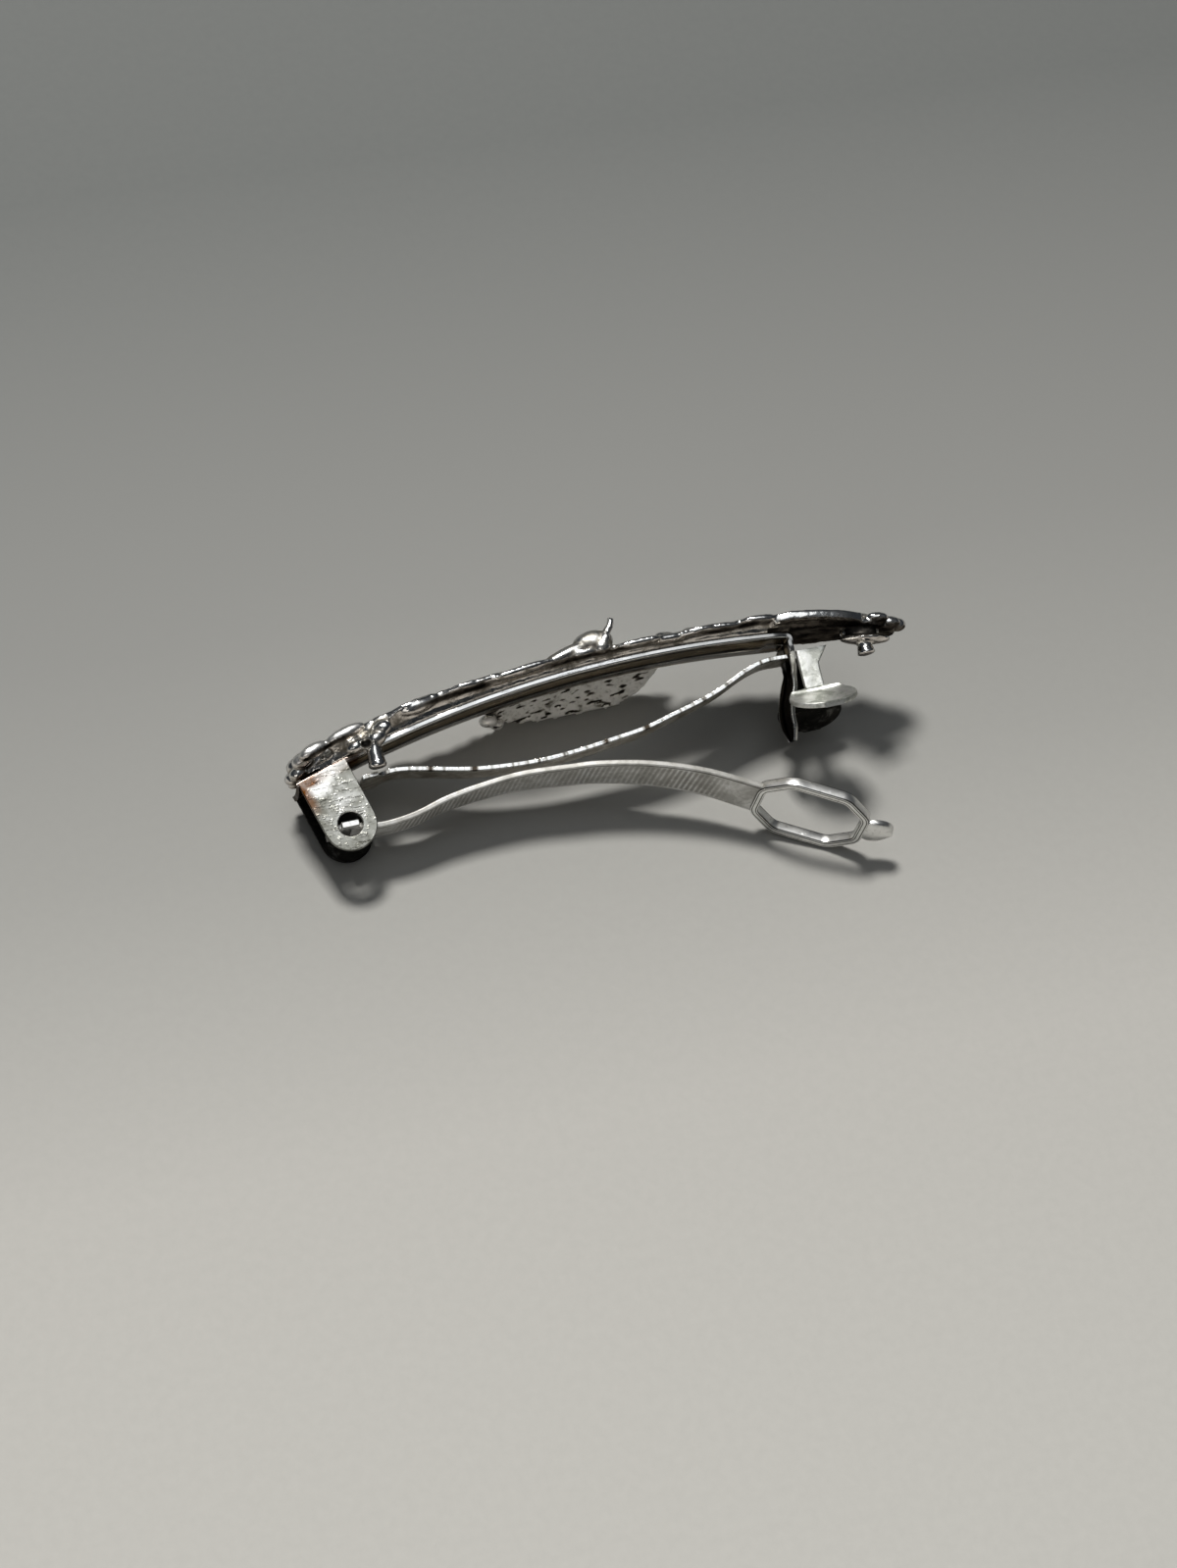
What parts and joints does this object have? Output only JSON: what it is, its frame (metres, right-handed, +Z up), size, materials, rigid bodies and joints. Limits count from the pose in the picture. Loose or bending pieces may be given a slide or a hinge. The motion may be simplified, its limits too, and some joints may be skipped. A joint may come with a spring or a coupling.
{
  "type": "hairpin",
  "caption": "Spring barrette with a long cast ornament, an arched base with hinge ears, a bow spring and a swinging loop clasp, open on its side",
  "frame": {"origin": "centre of the footprint on the table, with the clip lying open on its far side", "axes": "+X from the hinge towards the catch, +Y away from the open arm towards the ornament, +Z up"},
  "size_m": [0.0694, 0.0266, 0.0166],
  "materials": {
    "antique_silver": null,
    "plated_steel": "bright nickel plating, scuffed",
    "leg_steel": "mottled nickel plating",
    "spring_steel": "bright spring strip",
    "arm_steel": "bright plated strip with fine grooves"
  },
  "bodies": {
    "base": {"base_plate": "plated_steel", "ornament": "antique_silver"},
    "bow": {"tension_bow": "spring_steel"},
    "arm": {"clasp_arm": "arm_steel"},
    "near_tab": {"catch_leg_near": "leg_steel"},
    "far_tab": {"catch_leg_far": "leg_steel"}
  },
  "joints": [
    {"name": "bow_press", "type": "hinge", "parent": "base", "child": "bow", "pos_m": [-0.02907, -0.00114, 0.00428], "axis": [0.0629, 0.2969, -0.9529], "range_deg": [-17.5, 0], "stiffness_Nm_per_rad": 0.02, "deforming": ["tension_bow", "catch_leg_near", "catch_leg_far"]},
    {"name": "clasp_swing", "type": "hinge", "parent": "bow", "child": "arm", "pos_m": [-0.02907, -0.00114, 0.00428], "axis": [0.0629, 0.2969, -0.9529], "range_deg": [0, 75]},
    {"name": "near_tab_squeeze", "type": "hinge", "parent": "base", "child": "near_tab", "pos_m": [0.02249, 0.00657, 0.01218], "axis": [0.9978, 0, 0.0659], "range_deg": [0, 8], "stiffness_Nm_per_rad": 0.05},
    {"name": "far_tab_squeeze", "type": "hinge", "parent": "base", "child": "far_tab", "pos_m": [0.02275, 0.00776, 0.00837], "axis": [-0.9978, 0, -0.0659], "range_deg": [0, 8], "stiffness_Nm_per_rad": 0.05}
  ]
}
